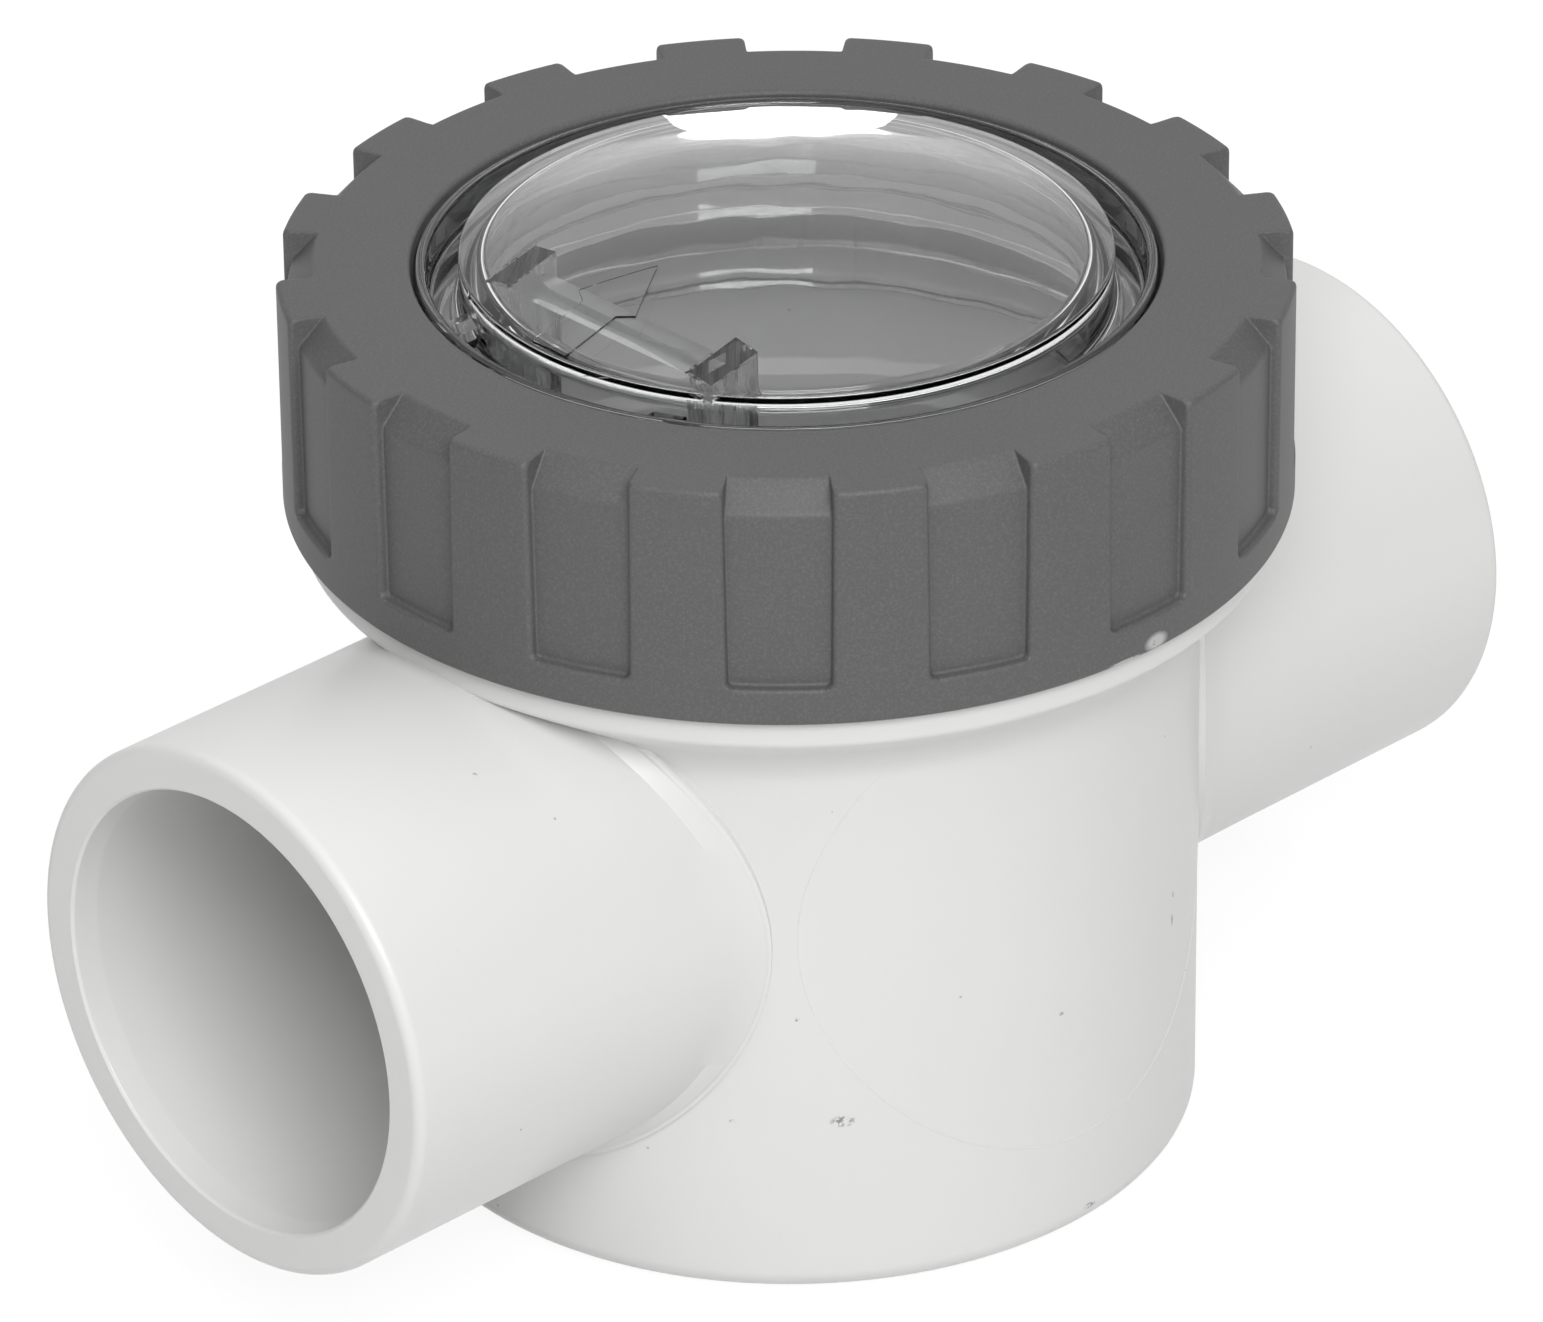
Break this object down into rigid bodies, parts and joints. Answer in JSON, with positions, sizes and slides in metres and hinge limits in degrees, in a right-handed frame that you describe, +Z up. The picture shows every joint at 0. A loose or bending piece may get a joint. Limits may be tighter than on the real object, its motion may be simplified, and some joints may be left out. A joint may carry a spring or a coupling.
{
  "type": "swing non-return valve",
  "caption": "Swing non-return valve: round pot body with in-line pipe sockets, inclined seat and hinged flapper, clear domed lid under a castellated lock ring.",
  "frame": {"origin": "centre of the pot's flat base", "axes": "+Z up through the lid, +X along the flow from the inlet socket to the outlet socket, +Y across"},
  "size_m": [0.201, 0.1336, 0.1342],
  "materials": {
    "white_pvc": "smooth moulded, light sheen",
    "grey_pvc": "smooth moulded, satin",
    "clear_polycarbonate": "clear, polished",
    "epdm": "matte black",
    "stainless": "drawn and machined",
    "acetal": "turned, satin"
  },
  "bodies": {
    "body": {"valve_body": "white_pvc", "seat_insert": "white_pvc", "seat_o_ring": "epdm", "hinge_pin": "stainless", "pin_clips": "stainless"},
    "flapper": {"flapper_disc": "white_pvc", "flapper_seal": "epdm", "seal_retainer": "grey_pvc", "retainer_screw": "stainless", "retainer_washer": "stainless", "retainer_nut": "stainless", "left_hinge_bush": "acetal", "right_hinge_bush": "acetal"},
    "lid": {"clear_lid": "clear_polycarbonate", "lid_o_ring": "epdm"},
    "ring": {"lock_ring": "grey_pvc"}
  },
  "joints": [
    {"name": "flapper_swing", "type": "hinge", "parent": "body", "child": "flapper", "pos_m": [-0.02899, 0, 0.09196], "axis": [0, -1, 0], "range_deg": [0, 65]},
    {"name": "lid_lift", "type": "slide", "parent": "body", "child": "lid", "axis": [0, 0, 1], "range_m": [0, 0.012]},
    {"name": "ring_turn", "type": "hinge", "parent": "lid", "child": "ring", "pos_m": [0, 0, 0.109], "axis": [0, 0, 1], "range_deg": [0, 864]}
  ],
  "couplings": [
    {"joint": "lid_lift", "follows": "ring_turn", "m_per_rad": 0.00079577}
  ]
}
